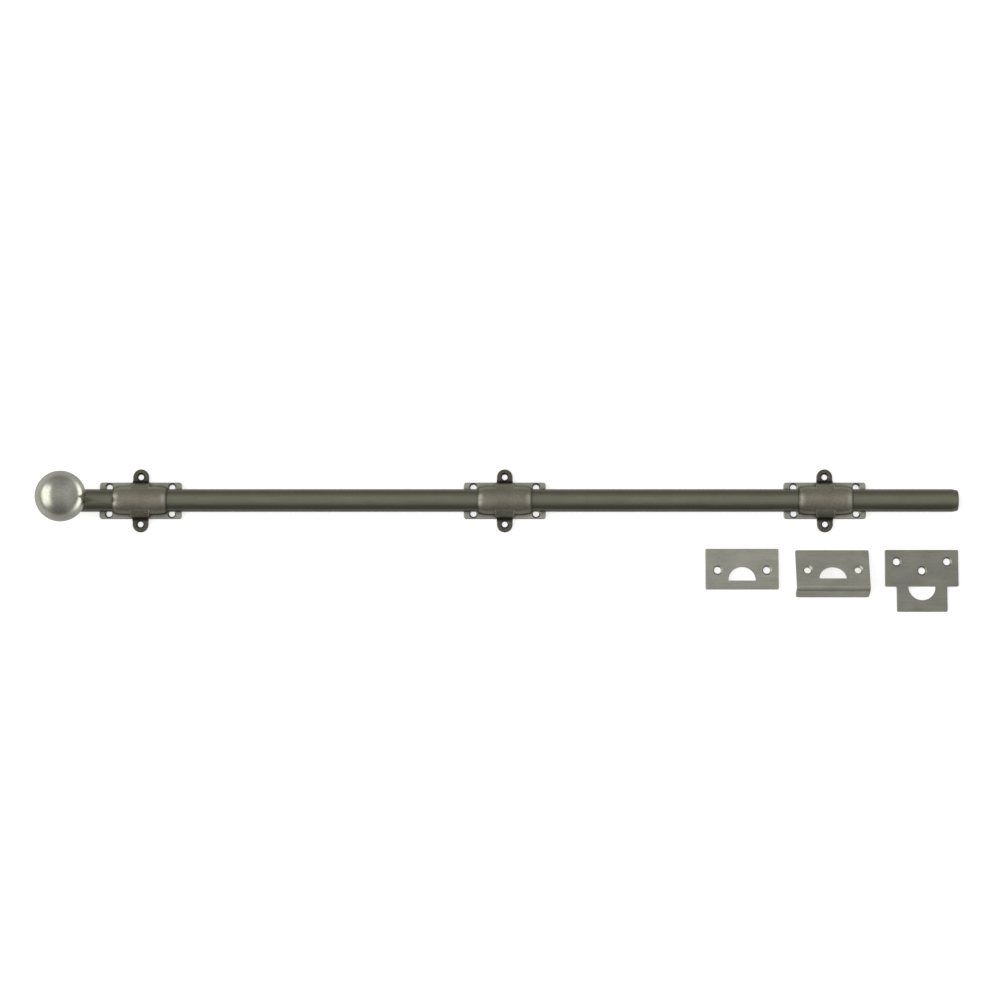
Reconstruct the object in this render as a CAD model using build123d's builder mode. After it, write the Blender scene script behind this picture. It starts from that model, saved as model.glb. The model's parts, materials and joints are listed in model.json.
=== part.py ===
"""Half-round surface bolt with a ball knob, three guides and three strike plates.

Frame, in millimetres: the door's face is the plane z = 0 and +Z points out of the door. +X runs along the rod
towards its tip. The origin is the centre of the middle guide's back.
"""

from build123d import *
import math
import os

# ---- driving dimensions --------------------------------------------------------------------------

INCH = 25.4
SINK_ANGLE = 90
FROM_BELOW = (Align.CENTER, Align.CENTER, Align.MIN)

# rod
rod_radius = 5 / 16 * INCH
rod_tip_x = 314.8
rod_tail_x = -314.8
rod_tip_taper = 4.0
rod_tip_drop = 0.8
rod_end_round = 1.2
throw = 2.0 * INCH

# guides
guide_x = {"left": -253.1, "middle": 0.0, "right": 222.5}
plate_length = 2.25 * INCH
plate_width = 1.0 * INCH
plate_thickness = 2.5
plate_corner = 1.8
plate_edge_round = 0.5
plate_hole_spacing_x = 43.5
plate_hole_spacing_y = 18.4
plate_hole_radius = 2.1
plate_sink_radius = 3.1
rod_lift = 0.25
rod_flat_z = plate_thickness + rod_lift

# guide covers
barrel_length = 37.6
barrel_radius = 10.1
barrel_end_radius = 8.7
barrel_dome = 9.5
barrel_lip = 3.0
bore_radius = rod_radius + 0.26
ear_spacing = 33.0
ear_radius = 5.5
ear_thickness = 2.2
ear_hole_radius = 2.0
ear_sink_radius = 3.0
ear_plate_gap = 0.15
ear_root_y = 15.6
strap_neck_y = 12.2
strap_flare_y = 10.4
strap_shoulder_y = 7.0
strap_half_width = 6.6
strap_fullness = 3.0
strap_edge_round = 0.7
steepest_top_face = math.radians(87)

# screws that hold the covers to their plates
cover_screw_y = 10.2
cover_screw_radius = 1.0
cover_screw_head = 1.9
cover_screw_top_z = 4.9
cover_screw_recess = 0.1
cover_screw_tip = 0.3
cover_slot_width = 0.5
cover_slot_depth = 0.4
cover_tap_runout = 0.1

# friction springs
spring_length = 30.0
spring_width = 6.0
spring_gauge = 0.35
spring_crest_gap = 0.05
pocket_length = 33.0
pocket_width = 7.0
pocket_depth = 1.3

# stop pin and its groove in the rod
stop_pin_radius = 2.0
stop_pin_reach = 2.5
groove_width = 4.5
groove_depth = 3.2
groove_end_gap = 0.3
stop_pin_tip = 0.4

# knob
knob_x = -304.8
ball_radius = 11 / 16 * INCH
ball_centre_z = 30.0
collar_top_radius = 5.6
collar_waist_radius = 4.8
collar_foot_radius = 6.6
collar_rim = 0.4
knob_screw_radius = 2.5
knob_screw_head = 4.6
knob_screw_depth = 9.0
knob_screw_recess = 0.15
knob_screw_clearance = 0.15
knob_screw_tip = 0.5
knob_slot_width = 1.2
knob_slot_depth = 1.0
knob_tap_runout = 1.0

# strikes
strike_thickness = 2.4
strike_length = 2.0 * INCH
strike_corner = 0.8
strike_edge_break = 0.35
strike_hole_radius = 2.4
strike_sink_radius = 3.4
slot_radius = 3 / 8 * INCH

flat_strike_centre = (164.6, -47.7)
flat_strike_width = 28.2
flat_strike_holes = 34.1
flat_strike_hole_y = -0.8
flat_strike_slot_y = -8.0

tee_centre = (289.2, -47.1)
tee_width = 1.0 * INCH
tee_tab_length = 35.0
tee_tab_width = 17.5
tee_holes = 34.9
tee_hole_y = 4.5
tee_middle_hole_y = -1.8

angle_x = 227.0
angle_edge_y = -34.6
angle_leg = 30.2
angle_lip = 0.5 * INCH
angle_bend = 3.2
angle_lip_corner = 2.0
angle_holes = 34.9
angle_hole_u = 14.8
angle_slot_u = 21.6

# ---- dimensions worked out from those above ------------------------------------------------------

rod_top_z = rod_flat_z + rod_radius
cover_sink_radius = cover_screw_head + cover_screw_recess
knob_hole_radius = knob_screw_radius + knob_screw_clearance
knob_sink_radius = knob_screw_head + knob_screw_clearance
ball_seat_z = ball_centre_z - math.sqrt(ball_radius**2 - collar_top_radius**2)
angle_tilt = math.atan2(angle_lip - strike_thickness, angle_leg - strike_thickness)


def save(part, node):
    """Labels a finished piece with its node's name and writes it as one STEP file."""
    part.label = node
    export_step(part, f"parts/{node}.step")


# ---- rod and knob --------------------------------------------------------------------------------


def make_bolt_rod():
    """Half-round bar, flat side down, with a tapered tip, the stop groove and the knob screw's hole."""
    with BuildPart() as rod:
        with BuildSketch(Plane.XY.offset(rod_flat_z)):
            with BuildLine():
                Polyline(
                    (rod_tail_x, 0),
                    (rod_tail_x, rod_radius),
                    (rod_tip_x - rod_tip_taper, rod_radius),
                    (rod_tip_x, rod_radius - rod_tip_drop),
                    (rod_tip_x, 0),
                    close=True,
                )
            make_face()
        revolve(axis=Axis((0, 0, rod_flat_z), (1, 0, 0)), revolution_arc=180)
        end_edges = rod.edges().filter_by(GeomType.CIRCLE).group_by(Axis.X)
        fillet(end_edges[0] + end_edges[-1], radius=rod_end_round)
        with BuildSketch(Plane.XY.offset(rod_flat_z)):
            with Locations((throw / 2, 0)):
                SlotCenterToCenter(throw + 2 * groove_end_gap, groove_width)
        extrude(amount=groove_depth, mode=Mode.SUBTRACT)
        with Locations(Location((knob_x, 0, rod_flat_z), (180, 0, 0))):
            CounterSinkHole(knob_hole_radius, knob_sink_radius, counter_sink_angle=SINK_ANGLE)
    save(rod.part, "bolt_rod")


def make_knob_collar():
    """Turned neck between rod and ball, its foot hollowed to sit on the rod's round back."""
    foot_z = rod_flat_z + math.sqrt(rod_radius**2 - collar_foot_radius**2)
    flare_z = rod_top_z + collar_rim
    with BuildPart() as collar:
        with BuildSketch(Plane.XZ):
            with BuildLine():
                Line((knob_x, foot_z), (knob_x + collar_foot_radius, foot_z))
                Line((knob_x + collar_foot_radius, foot_z), (knob_x + collar_foot_radius, flare_z))
                ThreePointArc(
                    (knob_x + collar_foot_radius, flare_z),
                    (knob_x + collar_waist_radius, (flare_z + ball_seat_z) / 2),
                    (knob_x + collar_top_radius, ball_seat_z),
                )
                Line((knob_x + collar_top_radius, ball_seat_z), (knob_x, ball_seat_z))
                Line((knob_x, ball_seat_z), (knob_x, foot_z))
            make_face()
        revolve(axis=Axis((knob_x, 0, 0), (0, 0, 1)))
        with Locations((knob_x, 0, rod_flat_z)):
            Cylinder(rod_radius, 4 * collar_foot_radius, rotation=(0, 90, 0), mode=Mode.SUBTRACT)
            Cylinder(knob_hole_radius, ball_radius, align=FROM_BELOW, mode=Mode.SUBTRACT)
    save(collar.part, "knob_collar")


def make_ball_knob():
    """Solid ball with a flat seat underneath and a blind tapped hole for the knob screw."""
    with BuildPart() as ball:
        with Locations((knob_x, 0, ball_centre_z)):
            Sphere(ball_radius)
        with BuildSketch(Plane.XY.offset(ball_seat_z)):
            with Locations((knob_x, 0)):
                Circle(ball_radius)
        extrude(amount=-ball_radius, mode=Mode.SUBTRACT)
        with BuildSketch(Plane.XY.offset(ball_seat_z)):
            with Locations((knob_x, 0)):
                Circle(knob_screw_radius)
        extrude(amount=knob_screw_depth + knob_tap_runout, mode=Mode.SUBTRACT)
    save(ball.part, "ball_knob")


def make_knob_screw():
    """Slotted countersunk screw from the rod's flat side, through rod and collar, into the ball."""
    head_z = rod_flat_z + knob_screw_recess
    cone_height = knob_screw_head - knob_screw_radius
    with BuildPart() as screw:
        with Locations((knob_x, 0, head_z)):
            Cone(knob_screw_head, knob_screw_radius, cone_height, align=FROM_BELOW)
            Cylinder(knob_screw_radius, ball_seat_z + knob_screw_depth - head_z, align=FROM_BELOW)
            Box(3 * knob_screw_head, knob_slot_width, 2 * knob_slot_depth, mode=Mode.SUBTRACT)
        chamfer(screw.edges().group_by(Axis.Z)[-1], length=knob_screw_tip)
    save(screw.part, "knob_screw")


# ---- guides --------------------------------------------------------------------------------------


def make_base_plate(side, x):
    """Plate with countersunk corner holes, two cover screw holes, and a spring pocket or a pin hole."""
    back = Plane((x, 0, 0))
    front = back.offset(plate_thickness)
    with BuildPart() as plate:
        with BuildSketch(back):
            RectangleRounded(plate_length, plate_width, plate_corner)
        extrude(amount=plate_thickness)
        fillet(plate.faces().sort_by(Axis.Z)[-1].edges(), radius=plate_edge_round)
        with Locations(front):
            with GridLocations(plate_hole_spacing_x, plate_hole_spacing_y, 2, 2):
                CounterSinkHole(plate_hole_radius, plate_sink_radius, counter_sink_angle=SINK_ANGLE)
        with Locations(Location((x, 0, 0), (180, 0, 0))):
            with GridLocations(0, 2 * cover_screw_y, 1, 2):
                CounterSinkHole(cover_screw_radius, cover_sink_radius, counter_sink_angle=SINK_ANGLE)
        if side == "middle":
            with Locations(front):
                Hole(stop_pin_radius)
        else:
            with BuildSketch(front):
                RectangleRounded(pocket_length, pocket_width, pocket_width / 4)
            extrude(amount=-pocket_depth, mode=Mode.SUBTRACT)
    save(plate.part, f"base_plate_{side}")


def make_guide_cover(side, x):
    """Half-round barrel over the rod, with a strap that steps down over the plate to an ear on each side."""
    back = Plane((x, 0, 0))
    front = back.offset(plate_thickness)
    across = Plane((x, 0, 0), x_dir=(0, 1, 0), z_dir=(1, 0, 0))
    ear_y = ear_spacing / 2
    plate_side_y = plate_width / 2 + ear_plate_gap
    shoulder_z = rod_flat_z + math.sqrt(barrel_radius**2 - strap_shoulder_y**2)
    tap_depth = cover_screw_top_z + cover_tap_runout - plate_thickness
    # strap and ears: the outline seen from above, cut to the outline seen along the rod
    with BuildPart() as strap:
        with BuildSketch(back):
            with BuildLine():
                Line((0, 0), (strap_half_width, 0))
                Line((strap_half_width, 0), (strap_half_width, strap_flare_y))
                Bezier(
                    (strap_half_width, strap_flare_y),
                    (ear_radius, strap_neck_y),
                    (ear_radius, ear_root_y),
                )
                Line((ear_radius, ear_root_y), (ear_radius, ear_y))
                RadiusArc((ear_radius, ear_y), (0, ear_y + ear_radius), -ear_radius)
                Line((0, ear_y + ear_radius), (0, 0))
            make_face()
            mirror(about=Plane.YZ)
            mirror(about=Plane.XZ)
        extrude(amount=shoulder_z)
        with BuildSketch(across):
            with BuildLine():
                Polyline(
                    (0, shoulder_z),
                    (0, plate_thickness),
                    (plate_side_y, plate_thickness),
                    (plate_side_y, 0),
                    (plate_width, 0),
                    (plate_width, ear_thickness),
                    (ear_root_y, ear_thickness),
                )
                Bezier(
                    (ear_root_y, ear_thickness),
                    (strap_neck_y, ear_thickness),
                    (strap_neck_y, shoulder_z - strap_fullness),
                    (strap_shoulder_y, shoulder_z),
                )
                Line((strap_shoulder_y, shoulder_z), (0, shoulder_z))
            make_face()
            mirror(about=Plane.YZ)
        extrude(amount=plate_length, both=True, mode=Mode.INTERSECT)
        top_faces = strap.faces().filter_by(lambda face: face.normal_at().Z > math.cos(steepest_top_face))
        fillet(top_faces.edges().filter_by(Axis.X, reverse=True), radius=strap_edge_round)
    # barrel: a turned form with domed ends, of which the part above the plate is kept
    half_length = barrel_length / 2
    with BuildPart() as cover:
        with BuildSketch(Plane((x, 0, rod_flat_z))):
            with BuildLine():
                Polyline((0, barrel_radius), (0, 0), (half_length, 0), (half_length, barrel_end_radius))
                Bezier(
                    (half_length, barrel_end_radius),
                    (half_length - barrel_lip, barrel_radius),
                    (half_length - barrel_dome, barrel_radius),
                )
                Line((half_length - barrel_dome, barrel_radius), (0, barrel_radius))
            make_face()
            mirror(about=Plane.YZ)
        revolve(axis=Axis((x, 0, rod_flat_z), (1, 0, 0)))
        split(bisect_by=front, keep=Keep.TOP)
        add(strap.part)
        # the tunnel for the rod, the ear holes, and the tapped holes for the screws from the plate's back
        with Locations((x, 0, rod_flat_z)):
            Cylinder(bore_radius, plate_length, rotation=(0, 90, 0), mode=Mode.SUBTRACT)
        with Locations((x, -ear_y, ear_thickness), (x, ear_y, ear_thickness)):
            CounterSinkHole(ear_hole_radius, ear_sink_radius, counter_sink_angle=SINK_ANGLE)
        with Locations((x, -cover_screw_y, plate_thickness), (x, cover_screw_y, plate_thickness)):
            Cylinder(cover_screw_radius, tap_depth, align=FROM_BELOW, mode=Mode.SUBTRACT)
    save(cover.part, f"guide_cover_{side}")


def make_cover_screws(side, x):
    """Two small slotted countersunk screws, heads in the plate's back, that hold a cover to its plate."""
    head_height = cover_screw_head - cover_screw_radius
    with BuildPart() as screws:
        with Locations((x, -cover_screw_y, cover_screw_recess), (x, cover_screw_y, cover_screw_recess)):
            Cone(cover_screw_head, cover_screw_radius, head_height, align=FROM_BELOW)
            Cylinder(cover_screw_radius, cover_screw_top_z - cover_screw_recess, align=FROM_BELOW)
            Box(3 * cover_screw_head, cover_slot_width, 2 * cover_slot_depth, mode=Mode.SUBTRACT)
        chamfer(screws.edges().group_by(Axis.Z)[-1], length=cover_screw_tip)
    save(screws.part, f"cover_screws_{side}")


def make_friction_spring(side, x):
    """Bowed leaf standing on its two ends in the plate's pocket, its crest just under the rod's flat side."""
    along = Plane((x, 0, 0), x_dir=(1, 0, 0), z_dir=(0, -1, 0))
    floor_z = plate_thickness - pocket_depth
    crest_z = rod_flat_z - spring_crest_gap
    half = spring_length / 2
    with BuildPart() as spring:
        with BuildSketch(along):
            with BuildLine():
                ThreePointArc((-half, floor_z), (0, crest_z - spring_gauge), (half, floor_z))
                Line((half, floor_z), (half, floor_z + spring_gauge))
                ThreePointArc((half, floor_z + spring_gauge), (0, crest_z), (-half, floor_z + spring_gauge))
                Line((-half, floor_z + spring_gauge), (-half, floor_z))
            make_face()
        extrude(amount=spring_width / 2, both=True)
    save(spring.part, f"friction_spring_{side}")


def make_throw_stop_pin():
    """Round pin pressed into the middle plate; it runs in the rod's groove and stops it at either end."""
    with BuildPart() as pin:
        with BuildSketch():
            Circle(stop_pin_radius)
        extrude(amount=rod_flat_z + stop_pin_reach)
        chamfer(pin.edges().group_by(Axis.Z)[-1], length=stop_pin_tip)
    save(pin.part, "throw_stop_pin")


# ---- strikes -------------------------------------------------------------------------------------


with BuildSketch() as half_round_slot:
    with BuildLine():
        Line((-slot_radius, 0), (slot_radius, 0))
        ThreePointArc((slot_radius, 0), (0, slot_radius), (-slot_radius, 0))
    make_face()


def make_strike_flat():
    """Flat oblong strike with two countersunk holes; the slot's flat side is towards its lower edge."""
    half_spacing = flat_strike_holes / 2
    back = Plane((*flat_strike_centre, 0))
    front = back.offset(strike_thickness)
    with BuildPart() as strike:
        with BuildSketch(back):
            RectangleRounded(strike_length, flat_strike_width, strike_corner)
        extrude(amount=strike_thickness)
        fillet(strike.faces().sort_by(Axis.Z)[-1].edges(), radius=strike_edge_break)
        with BuildSketch(front):
            with Locations((0, flat_strike_slot_y)):
                add(half_round_slot.sketch)
        extrude(amount=-strike_thickness, mode=Mode.SUBTRACT)
        with Locations(front):
            with Locations((-half_spacing, flat_strike_hole_y), (half_spacing, flat_strike_hole_y)):
                CounterSinkHole(strike_hole_radius, strike_sink_radius, counter_sink_angle=SINK_ANGLE)
    save(strike.part, "strike_flat")


def make_strike_tee():
    """T-shaped strike: three countersunk holes in the head, and a slot in the tab, flat side to the head."""
    back = Plane((*tee_centre, 0))
    front = back.offset(strike_thickness)
    with BuildPart() as strike:
        with BuildSketch(back) as outline:
            Rectangle(strike_length, tee_width)
            with Locations((0, -tee_width / 2)):
                Rectangle(tee_tab_length, 2 * tee_tab_width)
            fillet(outline.vertices(), radius=strike_corner)
        extrude(amount=strike_thickness)
        fillet(strike.faces().sort_by(Axis.Z)[-1].edges(), radius=strike_edge_break)
        with BuildSketch(front):
            with Locations((0, -tee_width / 2)):
                add(half_round_slot.sketch, rotation=180)
        extrude(amount=-strike_thickness, mode=Mode.SUBTRACT)
        with Locations(front):
            with Locations((-tee_holes / 2, tee_hole_y), (tee_holes / 2, tee_hole_y), (0, tee_middle_hole_y)):
                CounterSinkHole(strike_hole_radius, strike_sink_radius, counter_sink_angle=SINK_ANGLE)
    save(strike.part, "strike_tee")


def make_strike_angle():
    """L-shaped strike standing on the edges of its leg and lip, with a slot and two holes in the leg."""
    edge = (angle_x, angle_edge_y, strike_thickness * math.cos(angle_tilt))
    leg_normal = (0, math.sin(angle_tilt), math.cos(angle_tilt))
    leg = Plane(edge, x_dir=(1, 0, 0), z_dir=leg_normal)
    section = Plane(edge, x_dir=(0, -math.cos(angle_tilt), math.sin(angle_tilt)), z_dir=(-1, 0, 0))
    with BuildPart() as strike:
        with BuildSketch(section) as profile:
            with BuildLine():
                Polyline(
                    (0, 0),
                    (angle_leg, 0),
                    (angle_leg, -angle_lip),
                    (angle_leg - strike_thickness, -angle_lip),
                    (angle_leg - strike_thickness, -strike_thickness),
                    (0, -strike_thickness),
                    close=True,
                )
            make_face()
            fillet(profile.vertices().sort_by_distance((angle_leg, 0))[0], radius=angle_bend)
            fillet(
                profile.vertices().sort_by_distance((angle_leg - strike_thickness, -strike_thickness))[0],
                radius=angle_bend - strike_thickness,
            )
        extrude(amount=strike_length / 2, both=True)
        leg_corners = strike.edges().filter_by(Axis(edge, leg_normal)).sort_by(SortBy.LENGTH)[:2]
        lip_corners = strike.edges().filter_by(Axis(edge, section.x_dir)).sort_by(SortBy.LENGTH)[:2]
        fillet(leg_corners, radius=strike_corner)
        fillet(lip_corners, radius=angle_lip_corner)
        with BuildSketch(leg):
            with Locations((0, -angle_slot_u)):
                add(half_round_slot.sketch)
        extrude(amount=-2 * strike_thickness, mode=Mode.SUBTRACT)
        with Locations(leg):
            with Locations((-angle_holes / 2, -angle_hole_u), (angle_holes / 2, -angle_hole_u)):
                CounterSinkHole(strike_hole_radius, strike_sink_radius, counter_sink_angle=SINK_ANGLE)
    save(strike.part, "strike_angle")


os.makedirs("parts", exist_ok=True)
make_bolt_rod()
make_knob_collar()
make_ball_knob()
make_knob_screw()
for guide_side, guide_centre in guide_x.items():
    make_base_plate(guide_side, guide_centre)
    make_guide_cover(guide_side, guide_centre)
    make_cover_screws(guide_side, guide_centre)
for spring_side in ("left", "right"):
    make_friction_spring(spring_side, guide_x[spring_side])
make_throw_stop_pin()
make_strike_flat()
make_strike_tee()
make_strike_angle()
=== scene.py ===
"""Looks for the half-round surface bolt.

Satin antique nickel on the CAD frame's own pieces, a white studio drawn by direction, and the camera.
"""

import json
import math

import bpy
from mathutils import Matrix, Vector


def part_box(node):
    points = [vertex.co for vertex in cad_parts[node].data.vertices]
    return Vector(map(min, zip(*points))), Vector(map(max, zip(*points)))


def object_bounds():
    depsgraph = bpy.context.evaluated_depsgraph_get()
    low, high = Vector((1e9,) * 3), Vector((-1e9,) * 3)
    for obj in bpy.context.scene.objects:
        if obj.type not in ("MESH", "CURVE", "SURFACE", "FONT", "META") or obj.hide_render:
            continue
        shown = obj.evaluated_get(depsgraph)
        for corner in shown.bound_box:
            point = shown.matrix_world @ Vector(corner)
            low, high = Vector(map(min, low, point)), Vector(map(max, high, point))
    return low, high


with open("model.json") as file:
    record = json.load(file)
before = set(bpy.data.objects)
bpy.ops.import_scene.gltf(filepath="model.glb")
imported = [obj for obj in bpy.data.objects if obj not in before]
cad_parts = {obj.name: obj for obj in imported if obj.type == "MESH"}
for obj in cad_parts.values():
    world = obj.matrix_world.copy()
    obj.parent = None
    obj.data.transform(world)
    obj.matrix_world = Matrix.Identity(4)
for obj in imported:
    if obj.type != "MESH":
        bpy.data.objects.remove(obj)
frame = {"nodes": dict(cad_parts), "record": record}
cad_low, cad_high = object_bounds()

# ---- driving values: lengths in metres, colours linear -----------------------------------------------

# textures, as frequencies per metre along X, Y and Z; a grain runs along its low one
CLOUDS = (70, 110, 110)
SPECKS = (900, 900, 900)
WEAR_PATCHES = (260, 260, 260)
CAST_SKIN = (420, 420, 420)
ALONG_X = (35, 2600, 2600)
NO_GRAIN = (700, 700, 700)

# plating, what time does to it, and painted light and shade
STRIKE_NICKEL = (0.54, 0.54, 0.46)
# the dark coat for patina, and for painted shade and shadow
PATINA_AND_SHADE_TONE = (0.035, 0.033, 0.026)
# the bright tone of the painted highlights near a cover barrel's ends
END_HIGHLIGHT_TONE = (0.74, 0.73, 0.66)
CLOUD_SHARE = 0.6
SPECK_SHARE = 0.4
CLOUD_CONTRAST = (0.35, 0.65)  # a contrast is the stretch of the noise that is spread over its whole effect
SPECK_CONTRAST = (0.30, 0.70)
STREAK_CONTRAST = (0.35, 0.65)
STREAK_TONES = (0.90, 1.06)
PATCH_CONTRAST = (0.3, 0.6)
PATCH_COVER = (0.55, 1.0)
CREVICE_CONTRAST = (0.35, 0.95)
CREVICE_SAMPLES = 8
EDGE_WIDTH = 0.0005
EDGE_SAMPLES = 6
SHARP_EDGE = 0.90  # how far a sharp edge's blurred normal still points along its true one
EDGE_RUBBED = 0.3
EDGE_BRIGHTER = 1.3
GLOSS_CONTRAST = (0.3, 0.7)
SCRATCH_GLOSS = 0.05
CLOUD_GLOSS = 0.03
CAST_STRENGTH = 0.6
GRAIN_STRENGTH = 0.5
# how far below the rod's crown its painted shade is whole
ROD_SHADE_DEPTH = 0.0018
# a painted shadow belt along a cover's foot
SHADOW_BELT_SOFTNESS = 0.0006
SHADOW_BELT_COVER = 0.85

# the ends of a cover's barrel: painted highlights over a stretch in from the end, with a painted shade rim
# outside it
END_HIGHLIGHT_START = 0.0012
END_HIGHLIGHT_STOP = 0.0035
END_HIGHLIGHT_SOFTNESS = 0.0016
END_HIGHLIGHT_FULL_WIDTH = 0.0015
END_HIGHLIGHT_WIDTH = 0.0055
END_HIGHLIGHT_COVER = 0.6
RIM_SHADE_START = 0.0002
RIM_SHADE_STOP = 0.0016
RIM_SHADE_COVER = 0.75

# camera
VIEW_WIDTH = 0.696  # how much of the door plane the camera takes in, from left to right
VIEW_CENTRE = Vector((-0.0033, 0.0007, 0.0))
CAMERA_DISTANCE = 2.0
CAMERA_TILT = math.radians(6.5)
SENSOR_WIDTH = 36.0
CLIP_START = 0.1
CLIP_END = 50.0

# floor
FLOOR_SIZE = 30.0
FLOOR_GAP = 0.0002
FLOOR_COLOUR = (0.92, 0.92, 0.91, 1.0)
FLOOR_ROUGHNESS = 0.9
FLOOR_GLOW = (1.0, 1.0, 0.995, 1.0)
FLOOR_GLOW_STRENGTH = 0.62

# the studio's brightness by direction; a band has two limits and the softness of both,
# as angles from straight above
TENT_FILL = 0.26
TENT_LOBE = 0.29
TENT_TILT = math.radians(10)
TENT_NARROWING = 2.4
SIDE_LIGHT = 0.20
SIDE_LIMITS = (0.2, 0.8)
BACK_WALL = (math.radians(60), math.radians(140), math.radians(20))
BACK_WALL_LIGHT = 0.08
DARK_SIDE = (math.radians(-120), math.radians(-62), math.radians(18))
DARK_SIDE_LOSS = 0.05
GROUND_LIGHT = 0.21
GROUND_LIMITS = (0.0, -0.35)
LEFT_WINDOW = (math.radians(-84), math.radians(-39), math.radians(10))
LEFT_WINDOW_LIGHT = 1.45
RIGHT_WINDOW = (math.radians(99), math.radians(124), math.radians(9))
RIGHT_WINDOW_LIGHT = 1.5
WINDOW_REACH = (-0.58, 0.58, 0.24)
BACKDROP = 1.0

# ---- node helpers ------------------------------------------------------------------------------------


class NodeTree:
    """Short calls for the nodes that the finishes and the studio's light are made of."""

    def __init__(self, tree):
        self.tree = tree

    def add(self, kind):
        return self.tree.nodes.new("ShaderNode" + kind)

    def link(self, source, target):
        self.tree.links.new(source, target)

    def feed(self, socket, value):
        """Puts a number, a colour or another node's output into a socket."""
        if isinstance(value, bpy.types.NodeSocket):
            self.link(value, socket)
        elif isinstance(value, tuple):
            socket.default_value = (*value, 1.0)
        else:
            socket.default_value = value

    def math(self, operation, first, second=0.0):
        node = self.add("Math")
        node.operation = operation
        self.feed(node.inputs[0], first)
        self.feed(node.inputs[1], second)
        return node.outputs["Value"]

    def plus(self, first, second):
        return self.math("ADD", first, second)

    def times(self, first, second):
        return self.math("MULTIPLY", first, second)

    def absolute(self, value):
        return self.math("ABSOLUTE", value)

    def remap(self, value, low, high, to_low=0.0, to_high=1.0, smooth=False):
        """value from low..high to to_low..to_high, clamped."""
        node = self.add("MapRange")
        node.interpolation_type = "SMOOTHSTEP" if smooth else "LINEAR"
        self.link(value, node.inputs["Value"])
        node.inputs["From Min"].default_value = low
        node.inputs["From Max"].default_value = high
        node.inputs["To Min"].default_value = to_low
        node.inputs["To Max"].default_value = to_high
        return node.outputs["Result"]

    def band(self, value, low, high, soft):
        """1 between low and high, 0 outside, blurred over soft to either side of each limit."""
        rise = self.remap(value, low - soft, low + soft, 0.0, 1.0, smooth=True)
        fall = self.remap(value, high - soft, high + soft, 1.0, 0.0, smooth=True)
        return self.times(rise, fall)

    def dot(self, first, second):
        node = self.add("VectorMath")
        node.operation = "DOT_PRODUCT"
        self.link(first, node.inputs[0])
        if isinstance(second, bpy.types.NodeSocket):
            self.link(second, node.inputs[1])
        else:
            node.inputs[1].default_value = second
        return node.outputs["Value"]

    def axes(self, vector):
        node = self.add("SeparateXYZ")
        self.link(vector, node.inputs[0])
        return node.outputs["X"], node.outputs["Y"], node.outputs["Z"]


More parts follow.
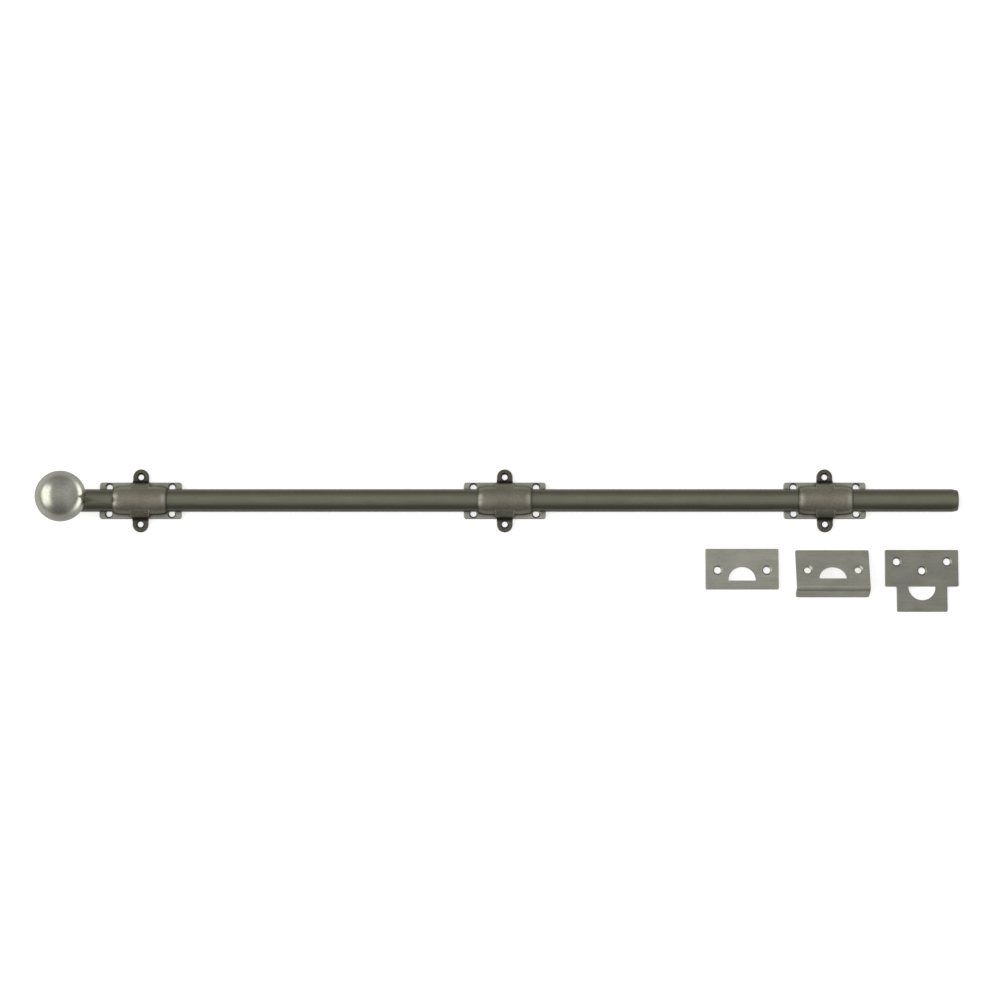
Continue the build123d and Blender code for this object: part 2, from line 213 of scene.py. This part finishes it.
class Plating(NodeTree):
    """A plated metal's finish.

    tone is the plating's colour, clouds how much darker its clouds are, grain the scratches' frequencies.
    """

    def __init__(self, name, tone, clouds, grain):
        self.material = bpy.data.materials.new(name)
        self.material.use_nodes = True
        super().__init__(self.material.node_tree)
        self.tone = tone
        self.object_space = self.add("TexCoord").outputs["Object"]
        self.clouds = self.remap(self.noise(CLOUDS, detail=4.0), *CLOUD_CONTRAST)
        specks = self.remap(self.noise(SPECKS, detail=2.0), *SPECK_CONTRAST)
        mottle = self.plus(self.times(self.clouds, CLOUD_SHARE), self.times(specks, SPECK_SHARE))
        dull = tuple((1.0 - clouds) * channel for channel in tone)
        self.scratches = self.noise(grain, detail=4.0, roughness=0.65)
        streaks = self.remap(self.scratches, *STREAK_CONTRAST, *STREAK_TONES)
        self.colour = self.mix(1.0, self.mix(mottle, dull, tone), streaks, "MULTIPLY")

    def noise(self, frequency, detail=3.0, roughness=0.5):
        """Noise from 0 to 1."""
        mapping = self.add("Mapping")
        mapping.inputs["Scale"].default_value = frequency
        self.link(self.object_space, mapping.inputs["Vector"])
        node = self.add("TexNoise")
        node.inputs["Scale"].default_value = 1.0
        node.inputs["Detail"].default_value = detail
        node.inputs["Roughness"].default_value = roughness
        self.link(mapping.outputs["Vector"], node.inputs["Vector"])
        return node.outputs["Fac"]

    def mix(self, factor, first, second, blend="MIX"):
        """Colour mix; first and second are colours or sockets.

        The Mix node has sockets for each kind of value: colours go in at 6 and 7, and come out at 2.
        """
        node = self.add("Mix")
        node.data_type = "RGBA"
        node.blend_type = blend
        self.feed(node.inputs[0], factor)
        self.feed(node.inputs[6], first)
        self.feed(node.inputs[7], second)
        return node.outputs[2]

    def coat(self, amount, tone):
        self.colour = self.mix(amount, self.colour, tone)

    def crevices(self, reach):
        """1 in the open, towards 0 where surfaces nearer than reach close the view in."""
        node = self.add("AmbientOcclusion")
        node.samples = CREVICE_SAMPLES
        node.inputs["Distance"].default_value = reach
        return node.outputs["AO"]

    def edges(self, radius):
        """0 on flat ground, towards 1 on an edge sharper than radius."""
        bevel = self.add("Bevel")
        bevel.samples = EDGE_SAMPLES
        bevel.inputs["Radius"].default_value = radius
        straight = self.dot(bevel.outputs["Normal"], self.add("NewGeometry").outputs["Normal"])
        return self.remap(straight, 1.0, SHARP_EDGE)

    def bump(self, height, strength, distance, below=None):
        node = self.add("Bump")
        node.inputs["Strength"].default_value = strength
        node.inputs["Distance"].default_value = distance
        self.link(height, node.inputs["Height"])
        if below is not None:
            self.link(below, node.inputs["Normal"])
        return node.outputs["Normal"]

    def patina_and_shade_below(self, whole_below, gone_above, strength):
        """Darkening, whole below one height and gone above the other: painted shade, and on a cover also
        patina at the ears.
        """
        height = self.axes(self.object_space)[2]
        self.coat(self.remap(height, whole_below, gone_above, strength, 0.0, smooth=True), PATINA_AND_SHADE_TONE)

    def painted_shadow_belt(self, low, high):
        """Painted shadow between two heights, above the step at a piece's foot."""
        height = self.axes(self.object_space)[2]
        self.coat(self.times(self.band(height, low, high, SHADOW_BELT_SOFTNESS), SHADOW_BELT_COVER), PATINA_AND_SHADE_TONE)

    def paint_end_highlights_and_rim_shade(self, middle, half_length):
        """Painted highlights on a barrel's crown near both ends, and painted shade on the last millimetre.
        """
        x, y, z = self.axes(self.object_space)
        along = self.absolute(self.math("SUBTRACT", x, middle))
        near_end = self.band(along, half_length - END_HIGHLIGHT_STOP, half_length - END_HIGHLIGHT_START, END_HIGHLIGHT_SOFTNESS)
        crown = self.remap(self.absolute(y), END_HIGHLIGHT_FULL_WIDTH, END_HIGHLIGHT_WIDTH, 1.0, 0.0, smooth=True)
        patchy = self.remap(self.noise(WEAR_PATCHES), *PATCH_CONTRAST, *PATCH_COVER)
        # painted highlight near each end of the barrel
        self.coat(self.times(self.times(self.times(near_end, crown), patchy), END_HIGHLIGHT_COVER), END_HIGHLIGHT_TONE)
        rim_inside, rim_outside = half_length - RIM_SHADE_STOP, half_length - RIM_SHADE_START
        # painted shade on the last millimetre of each end
        self.coat(self.remap(along, rim_inside, rim_outside, 0.0, RIM_SHADE_COVER, smooth=True), PATINA_AND_SHADE_TONE)

    def finish(self, roughness, grain_depth, cast_depth=0.0, crevice_reach=0.004, crevice_patina_and_shade=0.75):
        """The material, with darkened crevices (patina in hollows and painted shade between parts), rubbed
        edges, and relief from scratches and casting.
        """
        # darkening by occlusion: patina in hollows, and painted shade between parts and under things
        self.coat(self.remap(self.crevices(crevice_reach), *CREVICE_CONTRAST, crevice_patina_and_shade, 0.0), PATINA_AND_SHADE_TONE)
        brighter = tuple(min(1.0, EDGE_BRIGHTER * channel) for channel in self.tone)
        self.coat(self.times(self.edges(EDGE_WIDTH), EDGE_RUBBED), brighter)
        from_scratches = self.remap(self.scratches, *GLOSS_CONTRAST, -SCRATCH_GLOSS, SCRATCH_GLOSS)
        from_clouds = self.remap(self.clouds, 0.0, 1.0, CLOUD_GLOSS, -CLOUD_GLOSS)
        skin = None
        if cast_depth:
            skin = self.bump(self.noise(CAST_SKIN, detail=2.0), CAST_STRENGTH, cast_depth)
        surface = self.tree.nodes["Principled BSDF"].inputs
        surface["Metallic"].default_value = 1.0
        self.link(self.colour, surface["Base Color"])
        self.link(self.plus(self.plus(from_scratches, from_clouds), roughness), surface["Roughness"])
        self.link(self.bump(self.scratches, GRAIN_STRENGTH, grain_depth, skin), surface["Normal"])
        return self.material


# ---- finishes, one for each of the record's slots, and one for each cover and strike -----------------


def rod_finish():
    """Dark nickel, brushed along its length, with painted shade darkening its flanks below the crown, so
    the crown looks lighter.
    """
    rod = Plating("rod_nickel", (0.30, 0.30, 0.225), clouds=0.12, grain=ALONG_X)
    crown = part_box("bolt_rod")[1].z
    # painted shade on the rod's flanks below its crown
    rod.patina_and_shade_below(whole_below=crown - ROD_SHADE_DEPTH, gone_above=crown, strength=0.36)
    return rod.finish(roughness=0.26, grain_depth=0.00002)


def knob_finish():
    knob = Plating("knob_nickel", (0.54, 0.54, 0.455), clouds=0.10, grain=NO_GRAIN)
    return knob.finish(roughness=0.17, grain_depth=0.000004)


def plate_finish():
    plate = Plating("plate_nickel", (0.60, 0.60, 0.505), clouds=0.34, grain=ALONG_X)
    return plate.finish(roughness=0.36, grain_depth=0.00002, crevice_reach=0.003)


def screw_finish():
    screw = Plating("screw_steel", (0.45, 0.44, 0.42), clouds=0.2, grain=NO_GRAIN)
    return screw.finish(roughness=0.32, grain_depth=0.00001)


def pin_finish():
    pin = Plating("pin_steel", (0.48, 0.48, 0.46), clouds=0.2, grain=NO_GRAIN)
    return pin.finish(roughness=0.28, grain_depth=0.00001)


def spring_finish():
    spring = Plating("spring_bronze", (0.58, 0.40, 0.20), clouds=0.22, grain=ALONG_X)
    return spring.finish(roughness=0.30, grain_depth=0.00001)


def cover_finish(node):
    """Cast cover: darker towards the bottom (patina at the ears, painted shade on the barrel's flanks), a
    painted shadow at its foot, painted highlights near its domed ends and painted shade on their rims.
    """
    low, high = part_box(node)
    cover = Plating(node + "_nickel", (0.42, 0.392, 0.308), clouds=0.32, grain=NO_GRAIN)
    # darker towards the bottom: patina at the ears, painted shade on the barrel's flanks
    cover.patina_and_shade_below(whole_below=0.003, gone_above=0.0098, strength=0.60)
    # painted shadow along the foot, just above the plate
    cover.painted_shadow_belt(low=0.0029, high=0.0052)
    # painted highlights near the barrel's ends, painted shade on their rims
    cover.paint_end_highlights_and_rim_shade(middle=(low.x + high.x) / 2, half_length=(high.x - low.x) / 2)
    return cover.finish(
        roughness=0.31, grain_depth=0.000015, cast_depth=0.00005, crevice_reach=0.007, crevice_patina_and_shade=0.92,
    )


def strike_finish(node, shade):
    """Brushed strike, its plating's tone scaled for each piece."""
    tone = tuple(shade * channel for channel in STRIKE_NICKEL)
    strike = Plating(node + "_nickel", tone, clouds=0.22, grain=ALONG_X)
    return strike.finish(roughness=0.38, grain_depth=0.00002)


finish_of_slot = {
    "rod_nickel": rod_finish(),
    "knob_nickel": knob_finish(),
    "plate_nickel": plate_finish(),
    "screw_steel": screw_finish(),
    "pin_steel": pin_finish(),
    "spring_bronze": spring_finish(),
}
finish_of_node = {
    "guide_cover_left": cover_finish("guide_cover_left"),
    "guide_cover_middle": cover_finish("guide_cover_middle"),
    "guide_cover_right": cover_finish("guide_cover_right"),
    "strike_flat": strike_finish("strike_flat", 1.06),
    # painted light: the angle strike's tone is raised for the dimmer light its tilted leg and lip get
    "strike_angle": strike_finish("strike_angle", 1.03),
    "strike_tee": strike_finish("strike_tee", 0.78),
}
slot_of = {entry["node"]: entry["material_slot"] for entry in frame["record"]["subparts"]}
for node, piece in frame["nodes"].items():
    for material_slot in piece.material_slots:
        material_slot.material = finish_of_node.get(node) or finish_of_slot[slot_of[node]]

# ---- floor, light and camera -------------------------------------------------------------------------


def make_floor():
    """A large pale plate a hair under the door plane, lit from within a little, like a light table."""
    bpy.ops.mesh.primitive_plane_add(size=FLOOR_SIZE, location=(0, 0, cad_low.z - FLOOR_GAP))
    floor = bpy.context.object
    floor.name = "floor"
    material = bpy.data.materials.new("pale_floor")
    material.use_nodes = True
    surface = material.node_tree.nodes["Principled BSDF"].inputs
    surface["Base Color"].default_value = FLOOR_COLOUR
    surface["Roughness"].default_value = FLOOR_ROUGHNESS
    surface["Emission Color"].default_value = FLOOR_GLOW
    surface["Emission Strength"].default_value = FLOOR_GLOW_STRENGTH
    floor.data.materials.append(material)
    floor.visible_glossy = False


def make_studio():
    """A white tent drawn by direction: bright overhead, dim towards -Y, a window at each side."""
    world = bpy.data.worlds.new("studio")
    bpy.context.scene.world = world
    world.use_nodes = True
    studio = NodeTree(world.node_tree)
    direction = studio.add("TexCoord").outputs["Generated"]
    x, y, z = studio.axes(direction)
    from_above_to_back = studio.math("ARCTAN2", y, z)
    from_above_to_right = studio.math("ARCTAN2", x, z)

    facing = studio.dot(direction, (0.0, math.sin(TENT_TILT), math.cos(TENT_TILT)))
    lobe = studio.math("POWER", studio.math("MAXIMUM", facing, 0.0), TENT_NARROWING)
    left = studio.times(studio.band(from_above_to_right, *LEFT_WINDOW), LEFT_WINDOW_LIGHT)
    right = studio.times(studio.band(from_above_to_right, *RIGHT_WINDOW), RIGHT_WINDOW_LIGHT)
    lights = (
        studio.times(lobe, TENT_LOBE),
        studio.remap(studio.absolute(x), *SIDE_LIMITS, 0.0, SIDE_LIGHT, smooth=True),
        studio.times(studio.band(from_above_to_back, *BACK_WALL), BACK_WALL_LIGHT),
        studio.times(studio.band(from_above_to_back, *DARK_SIDE), -DARK_SIDE_LOSS),
        studio.times(studio.plus(left, right), studio.band(y, *WINDOW_REACH)),
    )
    strength = studio.remap(z, *GROUND_LIMITS, TENT_FILL, TENT_FILL + GROUND_LIGHT, smooth=True)
    for light in lights:
        strength = studio.plus(strength, light)

    # behind the object the tent is plain white
    seen = studio.add("LightPath").outputs["Is Camera Ray"]
    unseen = studio.math("SUBTRACT", 1.0, seen)
    strength = studio.plus(studio.times(strength, unseen), studio.times(seen, BACKDROP))
    background = studio.tree.nodes["Background"].inputs
    background["Color"].default_value = (1.0, 1.0, 1.0, 1.0)
    studio.link(strength, background["Strength"])


def make_camera():
    """Nearly square on to the door plane, from slightly below."""
    away = Vector((0.0, -math.sin(CAMERA_TILT), math.cos(CAMERA_TILT)))
    data = bpy.data.cameras.new("camera")
    data.sensor_width = SENSOR_WIDTH
    data.lens = SENSOR_WIDTH * CAMERA_DISTANCE / VIEW_WIDTH
    data.clip_start = CLIP_START
    data.clip_end = CLIP_END
    camera = bpy.data.objects.new("camera", data)
    bpy.context.scene.collection.objects.link(camera)
    camera.location = VIEW_CENTRE + away * CAMERA_DISTANCE
    camera.rotation_euler = (CAMERA_TILT, 0.0, 0.0)
    bpy.context.scene.camera = camera


make_floor()
make_studio()
make_camera()
bpy.context.scene.view_settings.view_transform = "Standard"
